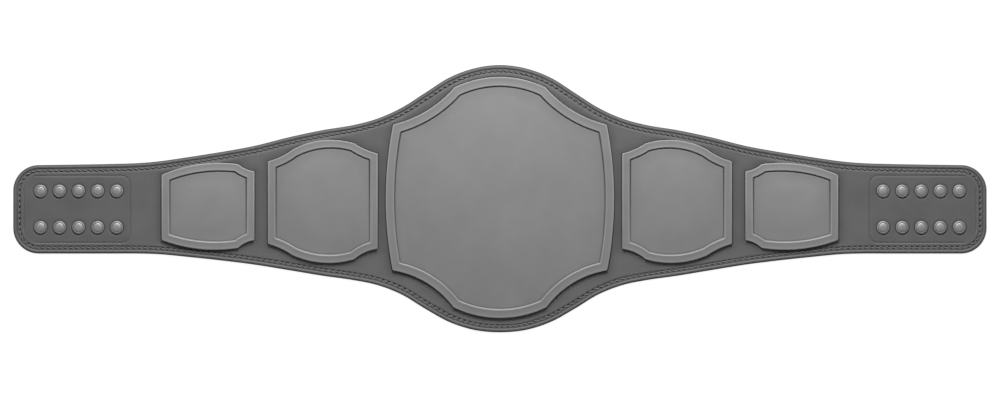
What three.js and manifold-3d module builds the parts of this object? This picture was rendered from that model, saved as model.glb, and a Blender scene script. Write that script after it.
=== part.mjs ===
// A championship title belt lying face up: a shaped leather strap with five cast plates and snap fasteners.
// Millimetres. +X runs along the belt, +Y towards its upper edge, +Z out of the plates.
// The origin is on the strap's back, at the middle of its length and of its width.

import * as THREE from 'three';
import * as BufferGeometryUtils from 'three/addons/utils/BufferGeometryUtils.js';
import Module from 'manifold-3d';

const wasm = await Module();
wasm.setup();

// Leather strap
const leatherThickness = 3;
const backEdgeRadius = 0.8;
const rimWidth = 4.3;
const rimRise = 0.4;
const rimGrooveWidth = 1.8;
const rimGrooveDepth = 0.7;
const plateMargin = 15;
const endMargin = 14;
const endCornerRadius = 34;

// Cast plates, each with its own width and height, and the height of its middle above the belt's middle line
const mainPlateWidth = 304.6;
const mainPlateHeight = 320.6;
const mainPlateMiddle = 2;
const innerPlateWidth = 146.6;
const innerPlateHeight = 164;
const innerPlateMiddle = -3.8;
const outerPlateWidth = 124;
const outerPlateHeight = 115.8;
const outerPlateMiddle = -10.2;
const plateThickness = 4;
const plateRecess = 1.5;
const plateBevel = 1;
const plateCornerCut = 1.6;
const recessWallRun = 1.2;
const mainBorderWidth = 11;
const sideBorderWidth = 10;

// Bare leather between the plates, and between the last plate and the snap panel
const mainToInnerGap = 10.4;
const innerToOuterGap = 17.6;
const outerToPanelGap = 41.7;

// Snap panel at each end, a tooled line round the snaps
const snapColumns = 5;
const snapPitch = 25.4;
const snapRowSpacing = 48.5;
const snapInnerMargin = 18.2;
const snapOuterMargin = 22.2;
const panelMarginAcross = 20.6;
const panelMiddle = -14.2;
const panelCornerRadius = 12;
const panelLineWidth = 1.6;
const panelLineDepth = 0.5;

// Snap fasteners
const snapRadius = 8.5;
const snapFlangeHeight = 0.9;
const snapRingHeight = 2.2;
const snapRingWidth = 2.4;
const snapDomeRadius = 4.9;
const snapDomeHeight = 2.9;
const snapDomeShoulder = 0.5;
const snapPostRadius = 2;
const snapBackRadius = 6;
const snapBackThickness = 0.9;

// Plate screws
const screwRadius = 2.2;
const screwHeadRadius = 6;
const screwHeadThickness = 0.9;

// Fits: air between neighbouring pieces, and how far a head lies below the strap's back
const clearance = 0.3;
const headSink = 0.2;

// Facets
const snapSides = 12;
const pegSides = 8;
const stationSteps = 2;
const cornerSteps = 6;
const panelCornerSteps = 4;

// Sizes that follow from the ones above
const panelLength = snapInnerMargin + (snapColumns - 1) * snapPitch + snapOuterMargin;
const panelWidth = snapRowSpacing + 2 * panelMarginAcross;
const innerPlateStart = mainPlateWidth / 2 + mainToInnerGap;
const outerPlateStart = innerPlateStart + innerPlateWidth + innerToOuterGap;
const endStart = outerPlateStart + outerPlateWidth;
const panelStart = endStart + outerToPanelGap;
const strapEnd = panelStart + panelLength + endMargin;
const plateSeat = leatherThickness + clearance;

// Zones of the strap's right half. The edge lies at shares of a zone's reach above and below its middle.
const zones = {
  main: {
    start: 0,
    length: mainPlateWidth / 2,
    middle: mainPlateMiddle,
    reach: mainPlateHeight / 2 + plateMargin,
  },
  inner: {
    start: innerPlateStart,
    length: innerPlateWidth,
    middle: innerPlateMiddle,
    reach: innerPlateHeight / 2 + plateMargin,
  },
  outer: {
    start: outerPlateStart,
    length: outerPlateWidth,
    middle: outerPlateMiddle,
    reach: outerPlateHeight / 2 + plateMargin,
  },
  end: {
    start: endStart,
    length: strapEnd - endStart,
    middle: panelMiddle,
    reach: panelWidth / 2 + endMargin,
  },
};

// Stations along the edge: share along the zone, and shares of its reach to the upper and the lower edge
const edgeStations = [
  { zone: 'main', along: 0, upper: 1.004, lower: 1.027 },
  { zone: 'main', along: 0.22, upper: 0.98, lower: 1.01 },
  { zone: 'main', along: 0.44, upper: 0.91, lower: 0.95 },
  { zone: 'main', along: 0.66, upper: 0.79, lower: 0.845 },
  { zone: 'main', along: 0.86, upper: 0.68, lower: 0.74 },
  { zone: 'inner', along: 0, upper: 1.14, lower: 1.15 },
  { zone: 'inner', along: 0.22, upper: 1.05, lower: 1.08 },
  { zone: 'inner', along: 0.5, upper: 0.98, lower: 1.02 },
  { zone: 'inner', along: 0.8, upper: 0.885, lower: 0.945 },
  { zone: 'outer', along: 0, upper: 1.105, lower: 1.065 },
  { zone: 'outer', along: 0.3, upper: 1.01, lower: 1 },
  { zone: 'outer', along: 0.65, upper: 0.915, lower: 0.935 },
  { zone: 'end', along: 0.02, upper: 1.085, lower: 1.015 },
  { zone: 'end', along: 0.16, upper: 1.045, lower: 1 },
  { zone: 'end', along: 0.35, upper: 1.025, lower: 1 },
  { zone: 'end', along: 0.6, upper: 1.01, lower: 1 },
];

// Plate outlines, anticlockwise from the lower corner nearest the belt's middle. Shares of half the width (x,
// away from the belt's middle) and half the height (y). From each corner the edge runs to the next corner, by
// an arc of so many steps through the point "via", or straight.
const mainPlateOutline = [
  { x: -0.94, y: -0.6045, sharp: true, via: { x: -0.692, y: -0.681 }, steps: 5 },
  { x: -0.394, y: -0.914, via: { x: 0, y: -1 }, steps: 8 },
  { x: 0.394, y: -0.914, via: { x: 0.692, y: -0.681 }, steps: 5 },
  { x: 0.94, y: -0.6045, sharp: true, via: { x: 1, y: 0 }, steps: 4 },
  { x: 0.935, y: 0.6045, sharp: true, via: { x: 0.695, y: 0.69 }, steps: 5 },
  { x: 0.394, y: 0.914, via: { x: 0, y: 1 }, steps: 8 },
  { x: -0.394, y: 0.914, via: { x: -0.695, y: 0.69 }, steps: 5 },
  { x: -0.935, y: 0.6045, sharp: true, via: { x: -1, y: 0 }, steps: 4 },
];
const innerPlateOutline = [
  { x: -1, y: -0.771, sharp: true, via: { x: -0.772, y: -0.827 }, steps: 3 },
  { x: -0.573, y: -0.941, via: { x: -0.091, y: -1 }, steps: 8 },
  { x: 0.5525, y: -0.873, via: { x: 0.768, y: -0.765 }, steps: 4 },
  { x: 1, y: -0.689, sharp: true },
  { x: 1, y: 0.654, sharp: true, via: { x: 0.765, y: 0.728 }, steps: 4 },
  { x: 0.5525, y: 0.845, via: { x: -0.091, y: 1 }, steps: 8 },
  { x: -0.573, y: 0.945, via: { x: -0.778, y: 0.845 }, steps: 3 },
  { x: -1, y: 0.78, sharp: true },
];
const outerPlateOutline = [
  { x: -1, y: -0.782, sharp: true, via: { x: -0.811, y: -0.84 }, steps: 3 },
  { x: -0.65, y: -0.96, via: { x: -0.058, y: -1 }, steps: 9 },
  { x: 1, y: -0.775, sharp: true },
  { x: 1, y: 0.725, sharp: true, via: { x: -0.2, y: 1 }, steps: 9 },
  { x: -0.65, y: 0.972, via: { x: -0.813, y: 0.86 }, steps: 3 },
  { x: -1, y: 0.807, sharp: true },
];

// Screw places as shares of half the plate's width and half its height
const mainScrewPlaces = [
  { x: -0.72, y: 0.52 },
  { x: 0.72, y: 0.52 },
  { x: -0.72, y: -0.52 },
  { x: 0.72, y: -0.52 },
];
const sideScrewPlaces = [
  { x: 0, y: 0.62 },
  { x: 0, y: -0.62 },
];

const leatherMaterial = new THREE.MeshStandardMaterial({ color: 0x5f5f5f, roughness: 0.62, metalness: 0 });
const plateMaterial = new THREE.MeshStandardMaterial({ color: 0x8a8a8a, roughness: 0.42, metalness: 0.85 });
const snapMaterial = new THREE.MeshStandardMaterial({ color: 0x9a9a9a, roughness: 0.3, metalness: 0.9 });
const screwMaterial = new THREE.MeshStandardMaterial({ color: 0x7c7c7c, roughness: 0.4, metalness: 0.9 });

// Points of the arc from one point through a second to a third, without the third
function arcPoints(from, via, to, steps) {
  const [a, b, c] = [from, via, to];
  const turn = 2 * ((b.x - a.x) * (c.y - a.y) - (b.y - a.y) * (c.x - a.x));
  const ab = b.lengthSq() - a.lengthSq();
  const ac = c.lengthSq() - a.lengthSq();
  const centre = new THREE.Vector2(
    (ab * (c.y - a.y) - ac * (b.y - a.y)) / turn,
    (ac * (b.x - a.x) - ab * (c.x - a.x)) / turn,
  );
  const startAngle = a.clone().sub(centre).angle();
  const fullTurn = 2 * Math.PI;
  let sweep = c.clone().sub(centre).angle() - startAngle;
  if (turn > 0 && sweep < 0) sweep += fullTurn;
  if (turn < 0 && sweep > 0) sweep -= fullTurn;
  const radius = a.distanceTo(centre);
  return Array.from({ length: steps }, (_, i) => {
    const angle = startAngle + (sweep * i) / steps;
    return new THREE.Vector2(
      centre.x + radius * Math.cos(angle),
      centre.y + radius * Math.sin(angle),
    );
  });
}

// A quarter-round corner about a centre, from one angle over a right angle
function cornerPoints(centre, radius, startAngle, steps) {
  return Array.from({ length: steps + 1 }, (_, i) => {
    const angle = startAngle + ((Math.PI / 2) * i) / steps;
    return new THREE.Vector2(
      centre.x + radius * Math.cos(angle),
      centre.y + radius * Math.sin(angle),
    );
  });
}

// The outline moved inwards by a distance, each corner along its mitre
function insetOutline(points, distance) {
  return points.map((point, i) => {
    const before = points[(i + points.length - 1) % points.length];
    const after = points[(i + 1) % points.length];
    const intoCorner = point.clone().sub(before).normalize();
    const outOfCorner = after.clone().sub(point).normalize();
    const mitre = new THREE.Vector2(-intoCorner.y - outOfCorner.y, intoCorner.x + outOfCorner.x);
    const scale = distance / (1 + intoCorner.dot(outOfCorner));
    const moved = point.clone().addScaledVector(mitre, scale);
    moved.sharp = point.sharp;
    return moved;
  });
}

// The outline with each sharp corner cut back and rounded through one middle point
function roundSharpCorners(points, cut) {
  return points.flatMap((point, i) => {
    if (!point.sharp) return [point];
    const before = points[(i + points.length - 1) % points.length];
    const after = points[(i + 1) % points.length];
    const start = point.clone().lerp(before, cut / point.distanceTo(before));
    const end = point.clone().lerp(after, cut / point.distanceTo(after));
    const middle = start.clone().lerp(end, 0.5).lerp(point, 0.5);
    return [start, middle, end];
  });
}

// A closed body through level rings of the same number of points, from the lowest ring up
function ringBody(rings) {
  const count = rings[0].points.length;
  const positions = rings.flatMap(({ points, z }) => points.flatMap((point) => [point.x, point.y, z]));
  const triangles = [];
  for (let level = 0; level < rings.length - 1; level += 1) {
    for (let i = 0; i < count; i += 1) {
      const low = level * count + i;
      const lowNext = level * count + ((i + 1) % count);
      triangles.push(low, lowNext, lowNext + count, low, lowNext + count, low + count);
    }
  }
  const topStart = (rings.length - 1) * count;
  for (const [a, b, c] of THREE.ShapeUtils.triangulateShape(rings[0].points, [])) {
    triangles.push(a, c, b);
  }
  for (const [a, b, c] of THREE.ShapeUtils.triangulateShape(rings[rings.length - 1].points, [])) {
    triangles.push(topStart + a, topStart + b, topStart + c);
  }
  const geometry = new THREE.BufferGeometry();
  geometry.setAttribute('position', new THREE.Float32BufferAttribute(positions, 3));
  geometry.setIndex(triangles);
  geometry.computeVertexNormals();
  return geometry;
}

// A round body on the Z axis from a profile of radius and height that starts and ends on the axis
function roundBody(profile, sides) {
  const geometry = new THREE.LatheGeometry(
    profile.map(([radius, z]) => new THREE.Vector2(radius, z)),
    sides,
  );
  return geometry.rotateX(Math.PI / 2);
}

// A round head with a thinner post standing on it
function pegProfile({ headRadius, postRadius, bottom, shoulder, top }) {
  return [
    [0, bottom],
    [headRadius, bottom],
    [headRadius, shoulder],
    [postRadius, shoulder],
    [postRadius, top],
    [0, top],
  ];
}

function toManifold(geometry) {
  const bare = geometry.clone();
  bare.deleteAttribute('normal');
  bare.deleteAttribute('uv');
  const merged = BufferGeometryUtils.mergeVertices(bare);
  return new wasm.Manifold(new wasm.Mesh({
    numProp: 3,
    vertProperties: merged.attributes.position.array,
    triVerts: Uint32Array.from(merged.index.array),
  }));
}

function fromManifold(solid) {
  const { vertProperties, triVerts } = solid.getMesh();
  const geometry = new THREE.BufferGeometry();
  geometry.setAttribute('position', new THREE.Float32BufferAttribute(vertProperties, 3));
  geometry.setIndex(Array.from(triVerts));
  geometry.computeVertexNormals();
  return geometry;
}

// Strap edge: a smooth curve through the stations of one side, from the right end's corner to the left one's
function edgeCurve(side, sign) {
  const rightHalf = edgeStations.map((station) => {
    const zone = zones[station.zone];
    return new THREE.Vector3(
      zone.start + station.along * zone.length,
      zone.middle + sign * station[side] * zone.reach,
      0,
    );
  });
  const leftHalf = rightHalf.slice(1).map((point) => new THREE.Vector3(-point.x, point.y, 0));
  const stations = [...rightHalf.reverse(), ...leftHalf];
  const curve = new THREE.CatmullRomCurve3(stations, false, 'centripetal');
  return curve.getPoints((stations.length - 1) * stationSteps).map(({ x, y }) => new THREE.Vector2(x, y));
}

// Strap outline, anticlockwise from the upper edge at the right end
function strapOutline() {
  const { middle, reach } = zones.end;
  const cornerX = strapEnd - endCornerRadius;
  const cornerY = reach - endCornerRadius;
  const corner = (x, y, startAngle) => cornerPoints(
    new THREE.Vector2(x, middle + y),
    endCornerRadius,
    startAngle,
    cornerSteps,
  );
  return [
    ...edgeCurve('upper', 1),
    ...corner(-cornerX, cornerY, Math.PI / 2),
    ...corner(-cornerX, -cornerY, Math.PI),
    ...edgeCurve('lower', -1).reverse(),
    ...corner(cornerX, -cornerY, -Math.PI / 2),
    ...corner(cornerX, cornerY, 0),
  ];
}

// Strap body with its rolled rim and the groove that sets the rim off
function strapBody() {
  const outline = strapOutline();
  const rimTop = leatherThickness + rimRise;
  const grooveFloor = leatherThickness - rimGrooveDepth;
  const rimCrest = (rimWidth - rimGrooveWidth / 2) / 2;
  const sections = [
    { inset: backEdgeRadius, z: 0 },
    { inset: 0, z: backEdgeRadius },
    { inset: 0, z: (leatherThickness + rimRise) / 2 },
    { inset: rimCrest / 2, z: rimTop - rimRise / 2 },
    { inset: rimCrest, z: rimTop },
    { inset: rimWidth - rimGrooveWidth / 2, z: leatherThickness },
    { inset: rimWidth, z: grooveFloor },
    { inset: rimWidth + rimGrooveWidth / 2, z: leatherThickness },
  ];
  return ringBody(sections.map(({ inset, z }) => ({ points: insetOutline(outline, inset), z })));
}

// Snap places in the right panel's frame, counted from the inner end of each row
function snapPlaces() {
  const columns = Array.from({ length: snapColumns }, (_, i) => i);
  return [['upper', 1], ['lower', -1]].flatMap(([row, rowSign]) => columns.map((column) => ({
    name: `${row}_${column + 1}`,
    x: panelStart + snapInnerMargin + column * snapPitch,
    y: panelMiddle + (rowSign * snapRowSpacing) / 2,
  })));
}

// Tooled line round the snaps of the panel on one side, as a body to cut away
function panelLineCutter(sideSign) {
  const loop = (grow) => {
    const radius = panelCornerRadius + grow;
    const x = panelLength / 2 - panelCornerRadius;
    const y = panelWidth / 2 - panelCornerRadius;
    return [[x, y, 0], [-x, y, 1], [-x, -y, 2], [x, -y, 3]].flatMap(([cornerX, cornerY, quarter]) => (
      cornerPoints(new THREE.Vector2(cornerX, cornerY), radius, (quarter * Math.PI) / 2, panelCornerSteps)
    ));
  };
  const shape = new THREE.Shape(loop(panelLineWidth / 2));
  shape.holes.push(new THREE.Path(loop(-panelLineWidth / 2)));
  const geometry = new THREE.ExtrudeGeometry(shape, {
    depth: panelLineDepth + clearance,
    bevelEnabled: false,
  });
  return geometry.translate(
    sideSign * (panelStart + panelLength / 2),
    panelMiddle,
    leatherThickness - panelLineDepth,
  );
}

// Places of the plate screws on the belt
function screwPlaces(plate) {
  return plate.screws.map(({ x, y }) => ({
    x: plate.x + (x * plate.width) / 2,
    y: plate.y + (y * plate.height) / 2,
  }));
}

// Hole for a peg, with its head let into the strap's back
function pegHole({ headRadius, headThickness, postRadius }) {
  return roundBody(pegProfile({
    headRadius: headRadius + clearance,
    postRadius: postRadius + clearance,
    bottom: -clearance,
    shoulder: headSink + headThickness + clearance,
    top: leatherThickness + clearance,
  }), pegSides);
}

// A peg that ends just below what it holds on the front of the strap
function peg({ headRadius, headThickness, postRadius }) {
  return roundBody(pegProfile({
    headRadius,
    postRadius,
    bottom: headSink,
    shoulder: headSink + headThickness,
    top: leatherThickness,
  }), pegSides);
}

// Cast plate: a bevelled border raised round a sunk field
function plateBody(plate) {
  const halfSize = new THREE.Vector2(plate.width / 2, plate.height / 2);
  const corners = plate.outline.map(({ x, y }) => new THREE.Vector2(x, y).multiply(halfSize));
  const outline = plate.outline.flatMap(({ via, steps, sharp }, i) => {
    const from = corners[i];
    const to = corners[(i + 1) % corners.length];
    const points = via
      ? arcPoints(from, new THREE.Vector2(via.x, via.y).multiply(halfSize), to, steps)
      : [from.clone()];
    points[0].sharp = sharp;
    return points;
  });
  const fieldZ = plateThickness - plateRecess;
  const sections = [
    { inset: 0, z: 0 },
    { inset: 0, z: plateThickness - plateBevel },
    { inset: plateBevel, z: plateThickness },
    { inset: plate.border, z: plateThickness },
    { inset: plate.border + recessWallRun, z: fieldZ },
  ];
  const rings = sections.map(({ inset, z }) => {
    const points = roundSharpCorners(insetOutline(outline, inset), plateCornerCut);
    const placed = points.map((point) => new THREE.Vector2(plate.mirror * point.x, point.y));
    return { points: plate.mirror < 0 ? placed.reverse() : placed, z };
  });
  return ringBody(rings);
}

// Snap front: a flat flange with a rounded outer ring, a hollow and a middle dome
function snapProfile() {
  const ringCrest = snapRadius - snapRingWidth / 2;
  const hollowEdge = snapRadius - snapRingWidth;
  const hollowFloor = snapFlangeHeight;
  return [
    [0, 0],
    [snapRadius, 0],
    [snapRadius, snapFlangeHeight],
    [ringCrest, snapRingHeight],
    [hollowEdge, hollowFloor],
    [snapDomeRadius, hollowFloor],
    [snapDomeRadius - snapDomeShoulder, (hollowFloor + snapDomeHeight) / 2],
    [0, snapDomeHeight],
  ];
}

const belt = new THREE.Group();

function addMesh(name, geometry, material, x = 0, y = 0, z = 0) {
  const mesh = new THREE.Mesh(geometry, material);
  mesh.name = name;
  mesh.position.set(x, y, z);
  belt.add(mesh);
}

const sides = [{ name: 'left', sign: -1 }, { name: 'right', sign: 1 }];
const plates = [
  {
    name: 'main_plate',
    outline: mainPlateOutline,
    width: mainPlateWidth,
    height: mainPlateHeight,
    border: mainBorderWidth,
    screws: mainScrewPlaces,
    x: 0,
    y: mainPlateMiddle,
    mirror: 1,
  },
  ...sides.flatMap(({ name, sign }) => [
    {
      name: `inner_plate_${name}`,
      outline: innerPlateOutline,
      width: innerPlateWidth,
      height: innerPlateHeight,
      border: sideBorderWidth,
      screws: sideScrewPlaces,
      x: sign * (innerPlateStart + innerPlateWidth / 2),
      y: innerPlateMiddle,
      mirror: sign,
    },
    {
      name: `outer_plate_${name}`,
      outline: outerPlateOutline,
      width: outerPlateWidth,
      height: outerPlateHeight,
      border: sideBorderWidth,
      screws: sideScrewPlaces,
      x: sign * (outerPlateStart + outerPlateWidth / 2),
      y: outerPlateMiddle,
      mirror: sign,
    },
  ]),
];

const snapBack = {
  headRadius: snapBackRadius,
  headThickness: snapBackThickness,
  postRadius: snapPostRadius,
};
const plateScrew = {
  headRadius: screwHeadRadius,
  headThickness: screwHeadThickness,
  postRadius: screwRadius,
};

// Strap with every hole and both panel lines cut
const cutters = [
  ...sides.map(({ sign }) => panelLineCutter(sign)),
  ...sides.flatMap(({ sign }) => snapPlaces().map(({ x, y }) => pegHole(snapBack).translate(sign * x, y, 0))),
  ...plates.flatMap((plate) => screwPlaces(plate).map(({ x, y }) => pegHole(plateScrew).translate(x, y, 0))),
];
const strap = cutters.reduce(
  (solid, cutter) => solid.subtract(toManifold(cutter)),
  toManifold(strapBody()),
);
addMesh('strap', fromManifold(strap), leatherMaterial);

for (const plate of plates) {
  addMesh(plate.name, plateBody(plate), plateMaterial, plate.x, plate.y, plateSeat);
  screwPlaces(plate).forEach(({ x, y }, i) => {
    addMesh(`plate_screw_${plate.name.replace('_plate', '')}_${i + 1}`, peg(plateScrew), screwMaterial, x, y);
  });
}

for (const { name: sideName, sign } of sides) {
  for (const { name, x, y } of snapPlaces()) {
    const snap = roundBody(snapProfile(), snapSides);
    addMesh(`snap_${sideName}_${name}`, snap, snapMaterial, sign * x, y, plateSeat);
    addMesh(`snap_back_${sideName}_${name}`, peg(snapBack), snapMaterial, sign * x, y);
  }
}

export default belt;
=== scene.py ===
"""Looks of a championship title belt that lies face up on a pale floor, seen from straight above.

Metres. +X runs along the belt, +Y towards its upper edge, +Z out of the plates.
"""

import math

import bpy
import numpy as np
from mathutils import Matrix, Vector
from mathutils.geometry import delaunay_2d_cdt


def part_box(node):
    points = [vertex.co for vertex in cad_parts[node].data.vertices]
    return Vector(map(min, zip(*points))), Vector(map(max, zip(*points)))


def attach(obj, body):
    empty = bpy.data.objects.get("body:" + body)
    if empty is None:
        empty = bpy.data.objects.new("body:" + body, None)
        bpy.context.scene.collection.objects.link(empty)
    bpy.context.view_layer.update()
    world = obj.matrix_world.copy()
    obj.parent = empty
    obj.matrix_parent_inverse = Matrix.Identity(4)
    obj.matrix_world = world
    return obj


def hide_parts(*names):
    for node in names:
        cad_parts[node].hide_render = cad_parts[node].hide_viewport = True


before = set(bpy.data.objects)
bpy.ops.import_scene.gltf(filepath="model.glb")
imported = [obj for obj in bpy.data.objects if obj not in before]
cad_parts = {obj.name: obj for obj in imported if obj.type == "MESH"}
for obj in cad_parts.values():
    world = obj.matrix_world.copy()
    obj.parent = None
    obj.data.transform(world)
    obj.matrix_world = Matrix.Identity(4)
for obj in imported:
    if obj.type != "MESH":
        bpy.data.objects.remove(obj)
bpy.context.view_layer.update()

MM = 0.001
FRAME_WIDTH = 1000 * 4 / 3 * MM
SIDES = (("left", -1), ("right", 1))
PLATE_NAMES = (
    "main_plate",
    "inner_plate_left",
    "inner_plate_right",
    "outer_plate_left",
    "outer_plate_right",
)
SNAP_NAMES = [
    f"{side}_{row}_{column}"
    for side, _ in SIDES
    for row in ("upper", "lower")
    for column in range(1, 6)
]
SCREW_NAMES = sorted(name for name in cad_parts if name.startswith("plate_screw"))

# Leather strap, in millimetres
LEATHER = 3.0
END_REACH = 58.85
END_CORNER = 34.0
PLATE_MARGIN = 15.0
PANEL_CORNER = 12.0
PANEL_MARGIN_INNER = 18.2
PANEL_MARGIN_OUTER = 22.2
PANEL_MARGIN_ACROSS = 20.6
EDGE_STEPS = 24
END_CORNER_STEPS = 40
LOWER_ROUND = 0.9
# Painted shade on the bead along the upper edge: how far in it reaches, and how dark it is
BEAD_REACH = 3
BEAD_PAINTED_SHADE = 0.3

# Relief of the strap's front: depths and widths in millimetres, how much painted shade and painted
# light it gets round the stitched lines, snaps and plates, and how much darker the leather is inside
# the stitched panels
GROOVE_DEPTH = 0.55
GROOVE_WIDTH = 1.4
GROOVE_PAINTED_SHADE = 0.6
GROOVE_PAINTED_SHADE_WIDTH = 1.1
PANEL_DARK = 0.12
PANEL_DARK_FADE = 4
SNAP_RING_RADIUS = 9.2
SNAP_RING_DEPTH = 0.35
SNAP_RING_WIDTH = 2.4
SNAP_PAINTED_SHADOW_RADIUS = 9.1
SNAP_PAINTED_SHADOW_CORE = 0.3
SNAP_PAINTED_SHADOW_FADE = 1.0
SNAP_PAINTED_SHADOW = 0.5
SNAP_PAINTED_SHADOW_BESIDE = 0.35
PLATE_SINK = 0.2
PLATE_SINK_WIDTH = 3.0
PLATE_REACH = 14
PLATE_PAINTED_SHADE = 0.42
PLATE_PAINTED_SHADE_WIDTH = 13
CONTACT_PAINTED_SHADOW = 0.9
CONTACT_SHADOW_CORE = 0.4
CONTACT_SHADOW_FADE = 1.1
UNDERSIDE_PAINTED_LIGHT = 1.7
UNDERSIDE_CORE = 2.0
UNDERSIDE_FADE = 2.0
UNDERSIDE_START = 0.4
UNDERSIDE_BLEND = 0.4
MAIN_CORNER_SHARE = 0.94

# Points of the strap's mesh, in millimetres: grids, and rows beside the stitched lines, the snaps and
# the plates
FRONT_GRID = 6.5
BACK_GRID = 14.0
GRID_ROW_SHARE = 0.866
GRID_MARGIN_SHARE = 0.6
PANEL_CLEAR = 4.0
SNAP_CLEAR = 15.0
PLATE_CLEAR = 5.0
HOLE_CLEAR = 4
PANEL_ROWS = (-3.0, -1.5, -1.0, -0.5, 0, 0.5, 1.0, 1.5, 3.0)
FINE_SPACING = 1.6
WIDE_SPACING = 3
SNAP_ROWS = (5.5, 7.4, 8.2, 8.8, 9.5, 10.2, 11.2, 12.6)
SNAP_ROW_SIDES = 32
PLATE_ROWS = (-2.5, 0, 0.6, 1.2, 1.9, 4.2)
HOLE_ROWS = (0.25, 1.5)

# Slow waves of the leather: quarter of their length along, half of their length across, and phase
WAVES = ((61, 23, 0.4), (-37, 49, 1.9), (83, -67, 3.1), (29, 91, 5.2), (118, 12, 2.3))
WAVE_HEIGHT = 0.035
WAVE_START = 10
WAVE_BLEND = 3.4

# Holes through the strap and what fills them, in millimetres, and the painted shade on the holes'
# walls
HOLE_SIDES = 24
HOLE_SHOULDER = 1.4
HOLE_PAINTED_SHADE = -0.2
HEAD_GAP = 0.3
SNAP_BORE = 2.3
SNAP_POST = 2.0
SNAP_SIDES = 48
SCREW_BORE = 2.5
SCREW_POST = 2.2
RIVET_SIDES = 32

# Pricked holes that the rim's front stitches go into, with painted shade in them
RIM_STITCH_PITCH = 7.6
RIM_STITCH_INSET = 8.0
RIM_STITCH_SAMPLES = 6
PRICK_OFFSET = 0.7
PRICK_WIDTH = 1.5
PRICK_DEPTH = 0.9
PRICK_PAINTED_SHADE = 1.3

# Stitches in millimetres: pitch along the line, slant, height of their ends, how far the ends dip,
# radius of the thread, its flatness, and the share of the pitch that a stitch spans
STITCH_STEPS = 20
STITCH_TIP = 0.04
STITCH_ROUNDNESS = 0.45
LEAN_SPREAD = 0.18
ASIDE_SPREAD = 0.024
RADIUS_SPREAD = 0.05
STITCHES = {
    "rim_front": {
        "pitch": RIM_STITCH_PITCH,
        "slant": -1.1,
        "height": 3.1,
        "dip": 1.0,
        "radius": 0.9,
        "flatness": 0.75,
        "share": 0.76,
    },
    "rim_back": {
        "pitch": RIM_STITCH_PITCH,
        "slant": 0.5,
        "height": 0.66,
        "dip": -0.4,
        "radius": 0.9,
        "flatness": 0.7,
        "share": 0.8,
    },
    "panel": {
        "pitch": 3.7,
        "slant": 0.12,
        "height": 2.72,
        "dip": 0.3,
        "radius": 0.36,
        "flatness": 0.7,
        "share": 0.72,
    },
}

# Plate sections, in millimetres
PLATE_THICKNESS = 4.0
PLATE_BEVEL = 0.3
PLATE_DRAFT = 0.12
PLATE_RECESS = 1.5
BORDER_WIDTH = {"main": 11.0, "inner": 10.0, "outer": 10.0}
FIELD_DROP = {"main": 0.8, "inner": 0.0, "outer": 0.0}
# How much the painted light on each kind of plate is lifted
PAINTED_LIGHT_LIFT = {"main": 0.45, "inner": 0.45, "outer": 1.0}
SHARP_CORNER_CUT = 1.6
BLUNT_CORNER_CUT = 0.8
PLATE_EDGE_STEP = 2.0
STRAIGHT_EDGE_RADIUS = 20000.0
CROWN_HEIGHT = 0.35
CROWN_FALL = 1.2
FIELD_GRID = 7.0
PLATE_BACK_GRID = 30.0

# Painted light and shade on the plates, by the part of the section: how much darker it is painted
# along the plate's upper side and lighter along its lower side (negative: lighter above and darker
# below), how fast this grows from the plate's middle, and which insets count as bevel and as recess
RECESS_PAINTED_SHADE = 0.35
BEVEL_PAINTED_LIGHT = -0.2
BORDER_PAINTED_SHADE = 0.06
PAINTED_SHADE_SLOPE = 1.6
BEVEL_REACH = 1.8
RECESS_MIDDLE = 0.7
RECESS_REACH = 1.6

# Triangulation: keep only what lies inside the first loop, join points that are closer than this, and
# leave out triangles whose middle lies within this share of a hole's radius
INSIDE_FIRST_LOOP = 1
SAME_POINT = 1e-5
MOUTH_SHARE = 0.98

# Pale floor and frame, in metres
FLOOR_REACH = 40.0
FLOOR_DROP = 0.2 * MM
FRAME_MIDDLE = (0.1 * MM, -1.77 * MM)

# Light from all round: its level, and how much it rises towards the belt's upper side
SKY_LEVEL = 0.17
SKY_RISE = 0.15

# Stations along the strap's edge: zone, share along it, and shares of its reach to the upper and the
# lower edge
EDGE_STATIONS = (
    ("main", 0, 1.004, 1.027),
    ("main", 0.22, 0.98, 1.01),
    ("main", 0.44, 0.91, 0.95),
    ("main", 0.66, 0.79, 0.845),
    ("main", 0.86, 0.68, 0.74),
    ("inner", 0, 1.14, 1.15),
    ("inner", 0.22, 1.05, 1.08),
    ("inner", 0.5, 0.98, 1.02),
    ("inner", 0.8, 0.885, 0.945),
    ("outer", 0, 1.105, 1.065),
    ("outer", 0.3, 1.01, 1),
    ("outer", 0.65, 0.915, 0.935),
    ("end", 0.02, 1.085, 1.015),
    ("end", 0.16, 1.045, 1),
    ("end", 0.35, 1.025, 1),
    ("end", 0.6, 1.01, 1),
)

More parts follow.
